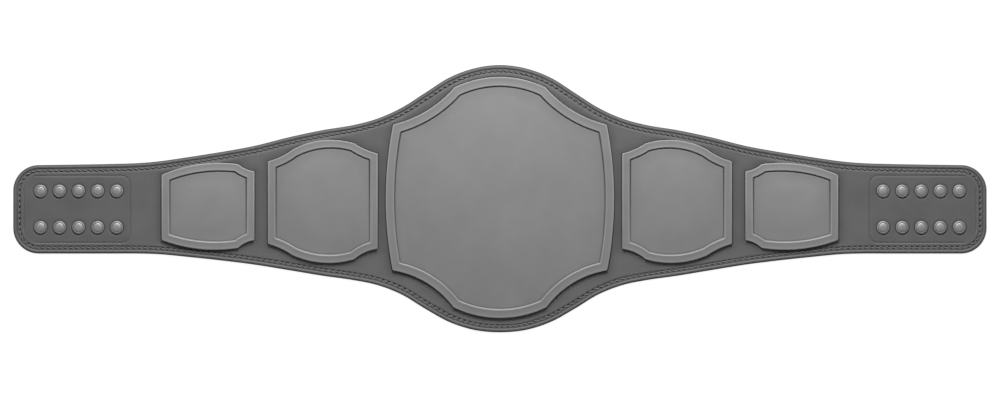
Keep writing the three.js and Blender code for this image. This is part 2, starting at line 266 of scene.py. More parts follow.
# Plate outlines of the right half, anticlockwise: a corner (x, y), whether it is sharp, and the point
# that the edge to the next corner passes on an arc. Shares of half the width and half the height.
PLATE_OUTLINES = {
    "main": (
        ((-0.94, -0.6045), True, (-0.692, -0.681)),
        ((-0.408, -0.911), False, (0, -1)),
        ((0.408, -0.911), False, (0.692, -0.681)),
        ((0.94, -0.6045), True, (1, 0)),
        ((0.935, 0.6045), True, (0.695, 0.69)),
        ((0.4, 0.912), False, (0, 1)),
        ((-0.4, 0.912), False, (-0.695, 0.69)),
        ((-0.935, 0.6045), True, (-1, 0)),
    ),
    "inner": (
        ((-1, -0.771), True, (-0.772, -0.827)),
        ((-0.573, -0.941), False, (-0.091, -1)),
        ((0.5525, -0.873), False, (0.768, -0.765)),
        ((1, -0.689), True, None),
        ((1, 0.654), True, (0.765, 0.728)),
        ((0.5525, 0.845), False, (-0.091, 1)),
        ((-0.573, 0.945), False, (-0.778, 0.845)),
        ((-1, 0.78), True, None),
    ),
    "outer": (
        ((-1, -0.782), True, (-0.811, -0.84)),
        ((-0.65, -0.96), False, (-0.058, -1)),
        ((1, -0.775), True, None),
        ((1, 0.725), True, (-0.2, 1)),
        ((-0.65, 0.972), False, (-0.813, 0.86)),
        ((-1, 0.807), True, None),
    ),
}


def node_box(name):
    """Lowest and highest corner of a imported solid, in millimetres."""
    return [np.array(corner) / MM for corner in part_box(name)]


def box_middle(name):
    low, high = node_box(name)
    return (low + high) / 2


class MeshBuilder:
    """Collects points in millimetres and faces, then makes one mesh object in metres."""

    def __init__(self):
        self.points = []
        self.tones = []
        self.uvs = []
        self.faces = []
        self.count = 0

    def add(self, points, tone=0.0, uv=None):
        """Adds points and gives their numbers."""
        points = np.asarray(points, float)
        numbers = np.arange(self.count, self.count + len(points))
        self.points.append(points)
        self.tones.append(np.broadcast_to(tone, (len(points),)))
        self.uvs.append(np.zeros((len(points), 2)) if uv is None else uv)
        self.count += len(points)
        return numbers

    def band(self, low, high):
        """Quads between two closed loops of point numbers."""
        quads = np.stack([low, np.roll(low, -1), np.roll(high, -1), high], axis=1)
        self.faces.extend(quads.tolist())

    def make(self, name, material):
        mesh = bpy.data.meshes.new(name)
        points = np.concatenate(self.points) * MM
        mesh.from_pydata(points.tolist(), [], self.faces)
        add_values(mesh, "tone", np.concatenate(self.tones))
        corner_points = np.empty(len(mesh.loops), np.int32)
        mesh.loops.foreach_get("vertex_index", corner_points)
        corner_uvs = np.concatenate(self.uvs)[corner_points].astype(np.float32)
        layer = mesh.uv_layers.new(name="along")
        layer.data.foreach_set("uv", corner_uvs.ravel())
        mesh.update()
        mesh.validate()
        mesh.shade_smooth()
        piece = bpy.data.objects.new(name, mesh)
        bpy.context.scene.collection.objects.link(piece)
        mesh.materials.append(material)
        return piece


def add_values(mesh, name, values):
    """Keeps one value on each point of the mesh, for its material to read."""
    layer = mesh.attributes.new(name, "FLOAT", "POINT")
    layer.data.foreach_set("value", values.astype(np.float32))


def unit(vectors):
    return vectors / np.linalg.norm(vectors, axis=-1, keepdims=True)


def smooth_curve(stations, steps):
    """Centripetal curve through the stations, with so many steps between two of them."""
    ends = 2 * stations[[0, -1]] - stations[[1, -2]]
    points = np.concatenate([ends[:1], stations, ends[1:]])
    lengths = np.linalg.norm(np.diff(points, axis=0), axis=1)
    knots = np.concatenate([[0], np.cumsum(np.sqrt(lengths))])

    def blend(a, b, first, last, at):
        return ((last - at) * a + (at - first) * b) / (last - first)

    curve = []
    for i in range(1, len(points) - 2):
        k = knots[i - 1 : i + 3]
        p = points[i - 1 : i + 3]
        at = np.linspace(k[1], k[2], steps, endpoint=False)[:, None]
        a = [blend(p[j], p[j + 1], k[j], k[j + 1], at) for j in range(3)]
        b = [blend(a[j], a[j + 1], k[j], k[j + 2], at) for j in range(2)]
        curve.append(blend(b[0], b[1], k[1], k[2], at))
    return np.concatenate([*curve, stations[-1:]])


def arc(centre, radius, start, sweep, steps):
    angles = start + sweep * np.linspace(0, 1, steps + 1)
    return np.array(centre) + radius * np.stack([np.cos(angles), np.sin(angles)], axis=1)


def resample(outline, count):
    """The closed outline with so many points at equal steps."""
    closed = np.concatenate([outline, outline[:1]])
    lengths = np.linalg.norm(np.diff(closed, axis=0), axis=1)
    along = np.concatenate([[0], np.cumsum(lengths)])
    at = np.linspace(0, along[-1], count, endpoint=False)
    return np.stack([np.interp(at, along, closed[:, axis]) for axis in (0, 1)], axis=1)


def outline_length(outline):
    return np.linalg.norm(outline - np.roll(outline, -1, axis=0), axis=1).sum()


def smooth_step(values):
    """Rises smoothly from 0 at 0 to 1 at 1."""
    values = np.clip(values, 0, 1)
    return values * values * (3 - 2 * values)


def fade(distance, width):
    """Falls smoothly from 1 at no distance to 0 at the width."""
    return 1 - smooth_step(distance / width)


def inward_normals(outline):
    tangents = unit(np.roll(outline, -1, axis=0) - np.roll(outline, 1, axis=0))
    return np.stack([-tangents[:, 1], tangents[:, 0]], axis=1)


def raised(points, z):
    """Level or raised points in space from points in the plane."""
    return np.column_stack([points, np.broadcast_to(z, (len(points),))])


# Strap outline


def strap_zones():
    """Start, length, middle and reach of each zone of the strap's right half."""
    zones = {}
    nodes = {"main": "main_plate", "inner": "inner_plate_right", "outer": "outer_plate_right"}
    for zone, node in nodes.items():
        low, high = node_box(node)
        start = 0 if zone == "main" else low[0]
        reach = (high[1] - low[1]) / 2 + PLATE_MARGIN
        zones[zone] = (start, high[0] - start, (low[1] + high[1]) / 2, reach)
    start = zones["outer"][0] + zones["outer"][1]
    zones["end"] = (start, node_box("strap")[1][0] - start, panel_middle(1)[1], END_REACH)
    return zones


def panel_middle(side):
    """Middle of the snap panel at one end, from the places of its snaps."""
    name = "right" if side > 0 else "left"
    inner = box_middle(f"snap_{name}_upper_1")
    outer = box_middle(f"snap_{name}_lower_5")
    shift = side * (PANEL_MARGIN_OUTER - PANEL_MARGIN_INNER) / 2
    return np.array([(inner[0] + outer[0]) / 2 + shift, (inner[1] + outer[1]) / 2])


def strap_outline():
    """The strap's outline, anticlockwise from the middle of the right end's side."""
    zones = strap_zones()
    edges = {}
    for column, sign in ((2, 1), (3, -1)):
        right = []
        for row in EDGE_STATIONS:
            start, length, middle, reach = zones[row[0]]
            right.append((start + row[1] * length, middle + sign * row[column] * reach))
        right = np.array(right)
        left = right[:0:-1] * [-1, 1]
        edges[sign] = smooth_curve(np.concatenate([left, right]), EDGE_STEPS)
    end = node_box("strap")[1][0]
    middle = zones["end"][2]
    across = END_REACH - END_CORNER
    quarter = math.pi / 2
    corners = []
    for sx, sy, start in ((1, 1, 0), (-1, 1, quarter), (-1, -1, 2 * quarter), (1, -1, 3 * quarter)):
        centre = (sx * (end - END_CORNER), middle + sy * across)
        corners.append(arc(centre, END_CORNER, start, quarter, END_CORNER_STEPS))
    rough = np.concatenate([
        [[end, middle]],
        corners[0],
        edges[1][::-1],
        corners[1],
        corners[2],
        edges[-1],
        corners[3],
    ])
    stitches = round(outline_length(rough) / RIM_STITCH_PITCH)
    return resample(rough, stitches * RIM_STITCH_SAMPLES)


def rim_profile():
    """Rows of inset, height and tone across the strap's rim, from its back to its front. The tones
    paint shade in the back's channel, along the outermost edge, in the groove and in the stitch
    channel; the bead's crest is a little lighter.
    """
    back = [(13.4, 0, 0), (9.8, 0.05, 0), (8.9, 0.8, -0.2)]
    back += [(7.8, 1.0, -0.5), (6.7, 0.8, -0.2), (5.8, 0.05, 0)]
    lower_edge = [
        (LOWER_ROUND * (1 - math.sin(turn)), LOWER_ROUND * (1 - math.cos(turn)), 0)
        for turn in np.linspace(0, math.pi / 2, 3)
    ]
    bead = [(-0.15, 1.3, -0.9), (-0.12, 1.8, -0.9), (0.2, 2.15, -0.9), (0.8, 2.6, -0.6)]
    bead += [(1.5, 3.0, 0.0), (2.2, 3.3, 0.15), (2.9, 3.45, 0.2), (3.5, 3.4, 0.15)]
    bead += [(4.1, 3.15, 0.0), (4.5, 2.8, -0.4)]
    groove = [(5.0, 2.55, -0.85), (5.6, 2.63, -0.5), (6.2, 2.76, -0.1)]
    channel = [(6.7, 2.82, 0.0), (7.2, 2.76, -0.1), (7.8, 2.62, -0.3), (8.4, 2.45, -0.45)]
    channel += [(8.9, 2.4, -0.5), (9.5, 2.55, -0.3), (10.2, 2.8, -0.1), (11.0, 2.96, 0.05)]
    channel += [(12.0, 3.02, 0.05), (13.4, 3.0, 0)]
    return back + lower_edge + bead + groove + channel


def undulation(points):
    """Slow waves of the leather's surface, in millimetres."""
    x = points[:, 0]
    y = points[:, 1]
    total = sum(
        np.sin(x * 2 * math.pi / (4 * quarter) + y * 2 * math.pi / (2 * half) + phase)
        for quarter, half, phase in WAVES
    )
    return WAVE_HEIGHT * total


def rounded_rectangle(middle, half_size, radius, steps=14):
    corners = []
    for quarter, (sx, sy) in enumerate(((1, 1), (-1, 1), (-1, -1), (1, -1))):
        centre = middle + np.array([sx, sy]) * (half_size - radius)
        corners.append(arc(centre, radius, quarter * math.pi / 2, math.pi / 2, steps))
    return np.concatenate(corners)


def panel_half_size():
    inner = box_middle("snap_right_upper_1")
    outer = box_middle("snap_right_lower_5")
    length = outer[0] - inner[0] + PANEL_MARGIN_INNER + PANEL_MARGIN_OUTER
    width = inner[1] - outer[1] + 2 * PANEL_MARGIN_ACROSS
    return np.array([length, width]) / 2


def panel_line(side, grow=0.0):
    """The stitched line round the snaps at one end, moved outwards by a distance."""
    return rounded_rectangle(panel_middle(side), panel_half_size() + grow, PANEL_CORNER + grow)


def panel_distance(points, side):
    """Distance of points from the stitched line at one end, negative inside it."""
    offset = np.abs(points - panel_middle(side)) - (panel_half_size() - PANEL_CORNER)
    outside = np.linalg.norm(np.maximum(offset, 0), axis=1)
    return outside + np.minimum(offset.max(axis=1), 0) - PANEL_CORNER


def front_relief(points):
    """Height and tone of the strap's front at points in the plane."""
    height = LEATHER + undulation(points)
    tone = np.zeros(len(points))
    for _, side in SIDES:
        press_panel_line(points, side, height, tone)
    for name in SNAP_NAMES:
        press_snap_ring(points, f"snap_{name}", height, tone)
    for name in PLATE_NAMES:
        press_plate(points, name, height, tone)
    return height, tone


def press_panel_line(points, side, height, tone):
    """The groove of the stitched line round the snaps, with painted shade in it, and the darker
    leather inside it.
    """
    outwards = panel_distance(points, side)
    distance = np.abs(outwards)
    height -= GROOVE_DEPTH * fade(distance, GROOVE_WIDTH)
    inside = PANEL_DARK * smooth_step(-outwards / PANEL_DARK_FADE)
    tone -= GROOVE_PAINTED_SHADE * fade(distance, GROOVE_PAINTED_SHADE_WIDTH) + inside


def press_snap_ring(points, node, height, tone):
    """The leather pressed down round a snap, with a painted shadow ring round it that is darkest at
    its left and right.
    """
    offset = points - box_middle(node)[:2]
    radius = np.linalg.norm(offset, axis=1)
    height -= SNAP_RING_DEPTH * fade(np.abs(radius - SNAP_RING_RADIUS), SNAP_RING_WIDTH)
    # Painted shadow ring round the snap, strongest at its left and right
    level_with = 1 - np.abs(offset[:, 1]) / np.maximum(radius, 1)
    painted_shading = SNAP_PAINTED_SHADOW + SNAP_PAINTED_SHADOW_BESIDE * level_with
    tone -= painted_shading * fade(np.abs(radius - SNAP_PAINTED_SHADOW_RADIUS) - SNAP_PAINTED_SHADOW_CORE, SNAP_PAINTED_SHADOW_FADE)


def press_plate(points, name, height, tone):
    """The leather pressed down round a plate, with a painted contact shadow along its top and sides,
    painted light below it that lightens the shadow the plate casts there, and broad painted shade all
    round.
    """
    low, high = node_box(name)
    near = ((points > low[:2] - PLATE_REACH) & (points < high[:2] + PLATE_REACH)).all(axis=1)
    distance = np.full(len(points), np.inf)
    distance[near] = edge_distance(points[near], plate_edge(name))
    height -= PLATE_SINK * fade(distance, PLATE_SINK_WIDTH)
    share_down = (low[1] + high[1] - 2 * points[:, 1]) / (high[1] - low[1])
    corner_share = MAIN_CORNER_SHARE if name == "main_plate" else 1.0
    beside = np.abs(2 * points[:, 0] - low[0] - high[0]) > corner_share * (high[0] - low[0])
    below = np.where(beside, 0, smooth_step((share_down - UNDERSIDE_START) / UNDERSIDE_BLEND))
    # Painted contact shadow beside and above the plate, painted light below it, and broad painted
    # shade round it
    tone -= CONTACT_PAINTED_SHADOW * (1 - below) * fade(distance - CONTACT_SHADOW_CORE, CONTACT_SHADOW_FADE)
    tone += UNDERSIDE_PAINTED_LIGHT * below * fade(distance - UNDERSIDE_CORE, UNDERSIDE_FADE)
    tone -= PLATE_PAINTED_SHADE * fade(distance, PLATE_PAINTED_SHADE_WIDTH)


def edge_distance(points, edge):
    """Distance of points from the nearest point of an edge."""
    if len(points) == 0:
        return np.zeros(0)
    nearest = np.full(len(points), np.inf)
    for start in range(0, len(edge), 100):
        offsets = points[:, None] - edge[None, start : start + 100]
        nearest = np.minimum(nearest, np.linalg.norm(offsets, axis=2).min(axis=1))
    return nearest


def plate_edge(name, outset=0.0):
    """The outer edge of a plate in the belt's plane, moved outwards by a distance."""
    low, high = node_box(name)
    points = plate_outline(name.split("_")[0], (high - low)[:2] / 2, -outset)
    if name.endswith("left"):
        points = points[::-1] * [-1, 1]
    return points + (high + low)[:2] / 2


def patch(builder, loops, spare, relief, facing_up, holes):
    """Fills the region inside the first loop with triangles, apart from the holes.

    loops holds point numbers with their places in the plane, and spare holds places of new points.
    """
    places = np.concatenate([places for _, places in loops] + [spare])
    edges = []
    start = 0
    for numbers, _ in loops:
        here = np.arange(start, start + len(numbers))
        edges.extend(np.stack([here, np.roll(here, -1)], axis=1).tolist())
        start += len(numbers)
    found, _, triangles, origins, _, _ = delaunay_2d_cdt(
        [Vector(place) for place in places], edges, [], INSIDE_FIRST_LOOP, SAME_POINT
    )
    known = np.concatenate([numbers for numbers, _ in loops])
    found = np.array(found)
    numbers = np.full(len(found), -1)
    for i, origin in enumerate(origins):
        inside = [o for o in origin if o < len(known)]
        if inside:
            numbers[i] = known[inside[0]]
    fresh = numbers < 0
    height, tone = relief(found[fresh])
    numbers[fresh] = builder.add(raised(found[fresh], height), tone)
    triangles = np.array([face[:] for face in triangles])
    centres = found[triangles].mean(axis=1)
    kept = np.ones(len(triangles), bool)
    for centre, radius in holes:
        kept &= np.linalg.norm(centres - centre, axis=1) > radius * MOUTH_SHARE
    faces = numbers[triangles[kept]]
    builder.faces.extend((faces if facing_up else faces[:, ::-1]).tolist())


def grid_inside(outline, step):
    """Points of a staggered grid that lie well inside an outline."""
    low = outline.min(axis=0)
    high = outline.max(axis=0)
    xs = np.arange(low[0], high[0], step)
    ys = np.arange(low[1], high[1], step * GRID_ROW_SHARE)
    points = np.array([(x + (row % 2) * step / 2, y) for row, y in enumerate(ys) for x in xs])
    a = outline[::4]
    b = np.roll(a, -1, axis=0)
    crossings = np.zeros(len(points), int)
    nearest = np.full(len(points), np.inf)
    for start, end in zip(a, b):
        spans = (points[:, 1] < start[1]) != (points[:, 1] < end[1])
        if start[1] != end[1]:
            at = start[0] + (points[:, 1] - start[1]) * (end[0] - start[0]) / (end[1] - start[1])
            crossings += spans & (points[:, 0] < at)
        nearest = np.minimum(nearest, np.linalg.norm(points - start, axis=1))
    return points[(crossings % 2 == 1) & (nearest > step * GRID_MARGIN_SHARE)]


def distance_from(centre):
    return lambda points: np.linalg.norm(points - centre, axis=1)


def away_from(points, keep_clear):
    """Points that lie further from each (distance function) than its margin."""
    kept = np.ones(len(points), bool)
    for distance, margin in keep_clear:
        kept &= distance(points) > margin
    return points[kept]


def circle(centre, radius, count):
    angles = np.arange(count) * 2 * math.pi / count
    return np.asarray(centre)[:2] + radius * np.stack([np.cos(angles), np.sin(angles)], axis=1)


def make_strap(material):
    builder = MeshBuilder()
    rings = add_rim(builder)
    holes = [add_hole(builder, f"snap_back_{name}", SNAP_BORE) for name in SNAP_NAMES]
    holes += [add_hole(builder, name, SCREW_BORE) for name in SCREW_NAMES]
    front_holes = [front for front, _ in holes]
    back_holes = [back for _, back in holes]
    fill_field(builder, rings[-1], front_holes, front_points(rings[-1][1]), front_relief, True)
    spare = back_points(rings[0][1], back_holes)
    fill_field(builder, rings[0], back_holes, spare, flat_relief, False)
    return builder.make("belt_strap", material)


def add_rim(builder):
    """The rim's rings, each with its point numbers and their places, from the back to the front."""
    outline = strap_outline()
    normals = inward_normals(outline)
    half_pitch = RIM_STITCH_SAMPLES / 2
    step = np.arange(len(outline))
    rings = []
    for inset, z, tone in rim_profile():
        points = outline + normals * inset
        heights = np.full(len(points), float(z))
        tones = np.full(len(points), float(tone))
        # Painted shade on the bead's outer rows, darker the more the edge faces +Y
        if inset < BEAD_REACH and z > LOWER_ROUND:
            tones += BEAD_PAINTED_SHADE * np.minimum(normals[:, 1], 0)
        across = (inset - RIM_STITCH_INSET - PRICK_OFFSET) / PRICK_WIDTH
        if z > LEATHER / 2 and abs(across) < 1:
            from_hole = np.abs((step - across + half_pitch) % RIM_STITCH_SAMPLES - half_pitch)
            prick = np.maximum(1 - from_hole / 2, 0) * (1 - across**2)
            # The pricked holes sink in and are painted with shade
            heights -= PRICK_DEPTH * prick
            tones -= PRICK_PAINTED_SHADE * prick
        if inset > WAVE_START and z > LEATHER / 2:
            heights += undulation(points) * smooth_step((inset - WAVE_START) / WAVE_BLEND)
        rings.append((builder.add(raised(points, heights), tones), points))
    for (low, _), (high, _) in zip(rings, rings[1:]):
        builder.band(low, high)
    return rings


def add_hole(builder, node, bore):
    """A stepped hole, painted with shade all through. Gives its mouths in front and back: numbers,
    places, centre and radius.
    """
    centre = box_middle(node)[:2]
    low, high = node_box(node)
    head = (high[0] - low[0]) / 2 + HEAD_GAP
    front = circle(centre, bore, HOLE_SIDES)
    front_height, _ = front_relief(front)
    back = circle(centre, head, HOLE_SIDES)
    loops = [(back, 0.0), (back, HOLE_SHOULDER), (front, HOLE_SHOULDER), (front, front_height)]
    # Painted shade on every ring of the hole
    numbers = [builder.add(raised(points, z), HOLE_PAINTED_SHADE) for points, z in loops]
    for lower, upper in zip(numbers, numbers[1:]):
        builder.band(upper, lower)
    return (numbers[-1], front, centre, bore), (numbers[0], back, centre, head)


def front_points(rim):
    """Points of the front's mesh: a loose grid, and rows along the lines, snaps and plates."""
    snap_centres = [box_middle(f"snap_{name}")[:2] for name in SNAP_NAMES]
    clear = [(lambda p, s=side: np.abs(panel_distance(p, s)), PANEL_CLEAR) for _, side in SIDES]
    clear += [(distance_from(centre), SNAP_CLEAR) for centre in snap_centres]
    edges = [plate_edge(name)[::2] for name in PLATE_NAMES]
    clear += [(lambda p, e=edge: edge_distance(p, e), PLATE_CLEAR) for edge in edges]
    spare = [away_from(grid_inside(rim, FRONT_GRID), clear)]
    for _, side in SIDES:
        for grow in PANEL_ROWS:
            line = panel_line(side, grow)
            spacing = FINE_SPACING if abs(grow) < 2 else WIDE_SPACING
            spare.append(resample(line, int(outline_length(line) / spacing)))
    for centre in snap_centres:
        spare += [circle(centre, radius, SNAP_ROW_SIDES) for radius in SNAP_ROWS]
    for name in PLATE_NAMES:
        spare += [plate_edge(name, outset) for outset in PLATE_ROWS]
    return np.concatenate(spare)


def back_points(rim, holes):
    """Points of the back's mesh: a wide grid, and two circles round each hole."""
    clear = [(distance_from(centre), radius + HOLE_CLEAR) for _, _, centre, radius in holes]
    spare = [away_from(grid_inside(rim, BACK_GRID), clear)]
    for _, _, centre, radius in holes:
        spare += [circle(centre, radius + grow, HOLE_SIDES) for grow in HOLE_ROWS]
    return np.concatenate(spare)


def flat_relief(points):
    return np.zeros(len(points)), np.zeros(len(points))


def fill_field(builder, rim, holes, spare, relief, facing_up):
    """Fills the strap's front or back inside its rim, apart from the mouths of the holes."""
    loops = [rim] + [(numbers, places) for numbers, places, _, _ in holes]
    patch(builder, loops, spare, relief, facing_up, [(c, r) for _, _, c, r in holes])


# Plates


def edge_circle(first, via, last):
    """Centre and radius of an edge's circle, positive where the edge bends anticlockwise."""
    chord = last - first
    length = np.linalg.norm(chord)
    left = np.array([-chord[1], chord[0]]) / length
    if via is None:
        radius = STRAIGHT_EDGE_RADIUS
    else:
        rise = (via - first) @ left
        shift = (via - first) @ chord / length
        radius = -(length * shift - shift**2 - rise**2) / (2 * rise)
        radius = math.copysign(math.hypot(radius, length / 2), -rise)
    depth = math.sqrt(radius**2 - length**2 / 4)
    return (first + last) / 2 + left * math.copysign(depth, radius), radius


def meeting_point(first, second, inset, near):
    """Where two neighbouring edges meet once both are moved inwards, nearest to a point."""
    centre, other = first[0], second[0]
    radius, other_radius = abs(first[1] - inset), abs(second[1] - inset)
    gap = np.linalg.norm(other - centre)
    direction = (other - centre) / gap
    along = (gap**2 + radius**2 - other_radius**2) / (2 * gap)
    across = math.sqrt(max(radius**2 - along**2, 0))
    side = np.array([-direction[1], direction[0]]) * across
    base = centre + direction * along
    return min((base + side, base - side), key=lambda point: np.linalg.norm(point - near))


def edge_samples(circle_of_edge, inset, ends, trims, count):
    """Points along an edge moved inwards, between two corners and clear of the trimmed ends."""
    centre, radius = circle_of_edge
    size = abs(radius - inset)
    start, stop = (math.atan2(*(end - centre)[::-1]) for end in ends)
    sweep = (stop - start + math.pi) % (2 * math.pi) - math.pi
    first, last = (math.copysign(trim / size, radius) for trim in trims)
    angles = np.linspace(start + first, start + sweep - last, count)
    return centre + size * np.stack([np.cos(angles), np.sin(angles)], axis=1)


def plate_outline(kind, half_size, inset):
    """The plate's outline moved inwards, anticlockwise, with its corners slightly rounded.

    The lower half and the field of the main plate lie a little lower than its corners say.
    """
    rows = PLATE_OUTLINES[kind]
    corners = [np.array(corner) * half_size for corner, _, _ in rows]
    cuts = [SHARP_CORNER_CUT if is_sharp else BLUNT_CORNER_CUT for _, is_sharp, _ in rows]
    around = range(len(rows))
    following = [(i + 1) % len(rows) for i in around]
    vias = [None if via is None else np.array(via) * half_size for _, _, via in rows]
    circles = [edge_circle(corners[i], vias[i], corners[following[i]]) for i in around]
    moved = [meeting_point(circles[i - 1], circles[i], inset, corners[i]) for i in around]
    points = []
    edges = []
    for i in around:
        after = following[i]
        count = max(6, round(np.linalg.norm(corners[after] - corners[i]) / PLATE_EDGE_STEP))
        trims = (cuts[i], cuts[after])
        edges.append(edge_samples(circles[i], inset, (moved[i], moved[after]), trims, count))
    for i in around:
        t = np.linspace(0, 1, 7)[1:-1, None]
        before, after = edges[i - 1][-1], edges[i][0]
        points.append((1 - t) ** 2 * before + 2 * t * (1 - t) * moved[i] + t**2 * after)
        points.append(edges[i])
    points = np.concatenate(points)
    lower_half = smooth_step(-2 * points[:, 1] / half_size[1])
    in_field = smooth_step(inset / BORDER_WIDTH[kind])
    points[:, 1] -= FIELD_DROP[kind] * np.maximum(in_field, lower_half)
    return points


def plate_profile(kind):
    """Rows of inset, height and tone across the plate's border, from its back to its field. The tones
    paint shade on the side wall, highlights along the outer bevel and along the recess's lip, and
    shade at the recess's foot that fades into the field.
    """
    border = BORDER_WIDTH[kind]
    top = PLATE_THICKNESS
    field = top - PLATE_RECESS
    rows = [(2.5, 0, 0), (0.3, 0, 0), (0, 0.3, -0.2), (PLATE_DRAFT / 2, top / 2, -0.1)]
    rows += [
        (PLATE_DRAFT + PLATE_BEVEL * (1 - math.cos(t)), top - PLATE_BEVEL * (1 - math.sin(t)), 0.3)
        for t in np.linspace(0, math.pi / 2, 5)
    ]
    rows += [(1.6, top, 0.4), (2.1, top - 0.05, 0.1), (2.8, top - 0.1, 0)]
    rows += [(border * 0.5, top - 0.1, 0), (border - 2.0, top - 0.1, 0)]
    rows += [(border - 1.5, top - 0.05, 0.15)]
    rows += [(border - 0.8, top + 0.01, 0.35), (border - 0.2, top, 0.35)]
    rows += [(border + 0.1, top - 0.12, 0.4), (border + 0.4, top - 0.6, 0.3)]
    rows += [(border + 0.75, field + 0.3, -0.2), (border + 1.05, field - 0.05, -1.0)]
    rows += [(border + 1.6, field - 0.15, -1.0), (border + 2.1, field - 0.1, -0.6)]
    rows += [(border + 2.5, field, -0.15), (border + 3.1, field, -0.1)]
    rows += [(border + 6, field, -0.06), (border + 10, field, -0.03)]
    return rows


def make_plate(name, material):
    kind = name.split("_")[0]
    low, high = node_box(name)
    half_size = (high - low)[:2] / 2
    middle = (high + low)[:2] / 2
    mirror = -1 if name.endswith("left") else 1
    builder = MeshBuilder()
    rings = []
    for inset, z, tone in plate_profile(kind):
        points = plate_outline(kind, half_size, inset) * [mirror, 1]
        if mirror < 0:
            points = points[::-1]
        # Painted shade above the recess and light below it, a painted highlight on the upper bevel and
        # shade on the lower one, and a slightly darker border above
        if abs(inset - BORDER_WIDTH[kind] - RECESS_MIDDLE) < RECESS_REACH:
            painted_shading = RECESS_PAINTED_SHADE
        else:
            painted_shading = BEVEL_PAINTED_LIGHT if inset < BEVEL_REACH else BORDER_PAINTED_SHADE
        tones = tone - painted_shading * np.clip(PAINTED_SHADE_SLOPE * points[:, 1] / half_size[1], -1, 1)
        rings.append((builder.add(raised(points + middle, low[2] + z), tones), points + middle))
    for (lower, _), (upper, _) in zip(rings, rings[1:]):
        builder.band(lower, upper)

    def crown(points):
        share = (points - middle) / half_size
        bulge = CROWN_HEIGHT * np.clip(1 - (share**2).sum(axis=1) * CROWN_FALL, 0, 1)
        return low[2] + PLATE_THICKNESS - PLATE_RECESS + bulge, np.zeros(len(points))

    def back(points):
        return np.full(len(points), low[2]), np.zeros(len(points))

    ring, places = rings[-1]
    patch(builder, [(ring, places)], grid_inside(places, FIELD_GRID), crown, True, [])
    ring, places = rings[0]
    patch(builder, [(ring, places)], grid_inside(places, PLATE_BACK_GRID), back, False, [])
    piece = builder.make(name.replace("plate", "belt_plate"), material)
    shares = (np.concatenate(builder.points)[:, :2] - middle) / half_size
    # Painted light: the plate is painted lighter towards its top and its middle and darker towards its
    # bottom and its sides, the outer plates lifted more
    add_values(piece.data, "painted_shading", shares[:, 1] - 0.5 * shares[:, 0] ** 2 + PAINTED_LIGHT_LIFT[kind])
    return piece


# Fasteners


def turned(name, centre, seat, profile, sides, material):
    """A round piece turned from rows of radius, height and tone, from its bottom middle to its top."""
    builder = MeshBuilder()
    centre = np.asarray(centre)[:2]
    bottom = builder.add([[*centre, seat + profile[0][1]]])
    rings = []
    for radius, z, tone in profile[1:-1]:
        rings.append(builder.add(raised(circle(centre, radius, sides), seat + z), tone))
    top = builder.add([[*centre, seat + profile[-1][1]]])
    for lower, upper in zip(rings, rings[1:]):
        builder.band(lower, upper)
    first, last = rings[0], rings[-1]
    for i in range(sides):
        builder.faces.append([int(bottom[0]), int(first[(i + 1) % sides]), int(first[i])])
    for i in range(sides):
        builder.faces.append([int(top[0]), int(last[i]), int(last[(i + 1) % sides])])
    return builder.make(name, material)


def snap_profile():
    """Rows of radius, height and tone of a snap: skirt, sloping ring, narrow groove and low dome. The
    tones paint shade on the skirt, on the ring and in the groove.
    """
    skirt = [(8.2, 0, -0.6), (8.45, 0.12, -0.6), (8.5, 0.35, -0.5), (8.5, 0.8, -0.2)]
    ring = [(8.45, 1.02, 0), (8.3, 1.18, 0), (8.0, 1.3, -0.2), (7.5, 1.42, -0.38)]
    ring += [(7.0, 1.52, -0.38)]
    groove = [(6.7, 1.54, -0.4), (6.5, 1.48, -0.6), (6.3, 1.38, -0.9), (6.1, 1.42, -0.7)]
    groove += [(5.9, 1.55, -0.3)]
    dome = [(5.6, 1.7, 0), (5.2, 1.84, 0), (4.7, 1.98, 0), (4.0, 2.12, 0), (3.2, 2.23, 0)]
    dome += [(2.2, 2.32, 0), (1.1, 2.37, 0)]
    return [(0, 0, 0), *skirt, *ring, *groove, *dome, (0, 2.39, 0)]


def rivet_profile(head, post, top):
    """Rows of radius, height and tone of a back rivet or screw from its head's underside up."""
    return [
        (0, 0.12, 0),
        (head * 0.45, 0.05, 0),
        (head * 0.8, 0.0, 0),
        (head - 0.25, 0.05, 0),
        (head, 0.25, 0),
        (head, 0.8, 0),
        (head - 0.1, 0.9, 0),
        (post + 0.2, 0.9, 0),
        (post, 1.1, 0),
        (post, top - 0.15, 0),
        (post - 0.15, top, 0),
        (0, top, 0),
    ]


# Threads


def stitch_run(builder, start, end, dip, radius, flatness, rings=7, sides=8):
    """One stitch from a hole to the next, arched over the leather, with rounded dipping ends.

    start and end are points in space, and dip is how far both ends go into the leather.
    """
    along = end - start
    length = np.linalg.norm(along)
    direction = along / length
    side = np.array([-direction[1], direction[0], 0])
    up = np.array([0, 0, 1.0])
    angles = np.arange(sides) * 2 * math.pi / sides
    across = np.outer(np.cos(angles), side)
    upwards = np.outer(np.sin(angles), up)
    numbers = []
    for share in (1 - np.cos(np.linspace(0, math.pi, rings))) / 2:
        inner_share = min(max(share, STITCH_TIP), 1 - STITCH_TIP)
        swell = math.sin(math.pi * inner_share) ** STITCH_ROUNDNESS
        centre = start + along * share - up * dip * (2 * share - 1) ** 4
        ring = centre + across * radius * swell + upwards * radius * flatness * swell
        uv = np.column_stack([np.full(sides, share * length), angles / (2 * math.pi)])
        numbers.append(builder.add(ring, 0.0, uv))
    for lower, upper in zip(numbers, numbers[1:]):
        builder.band(lower, upper)
    builder.faces.append(numbers[0][::-1].tolist())
    builder.faces.append(numbers[-1].tolist())


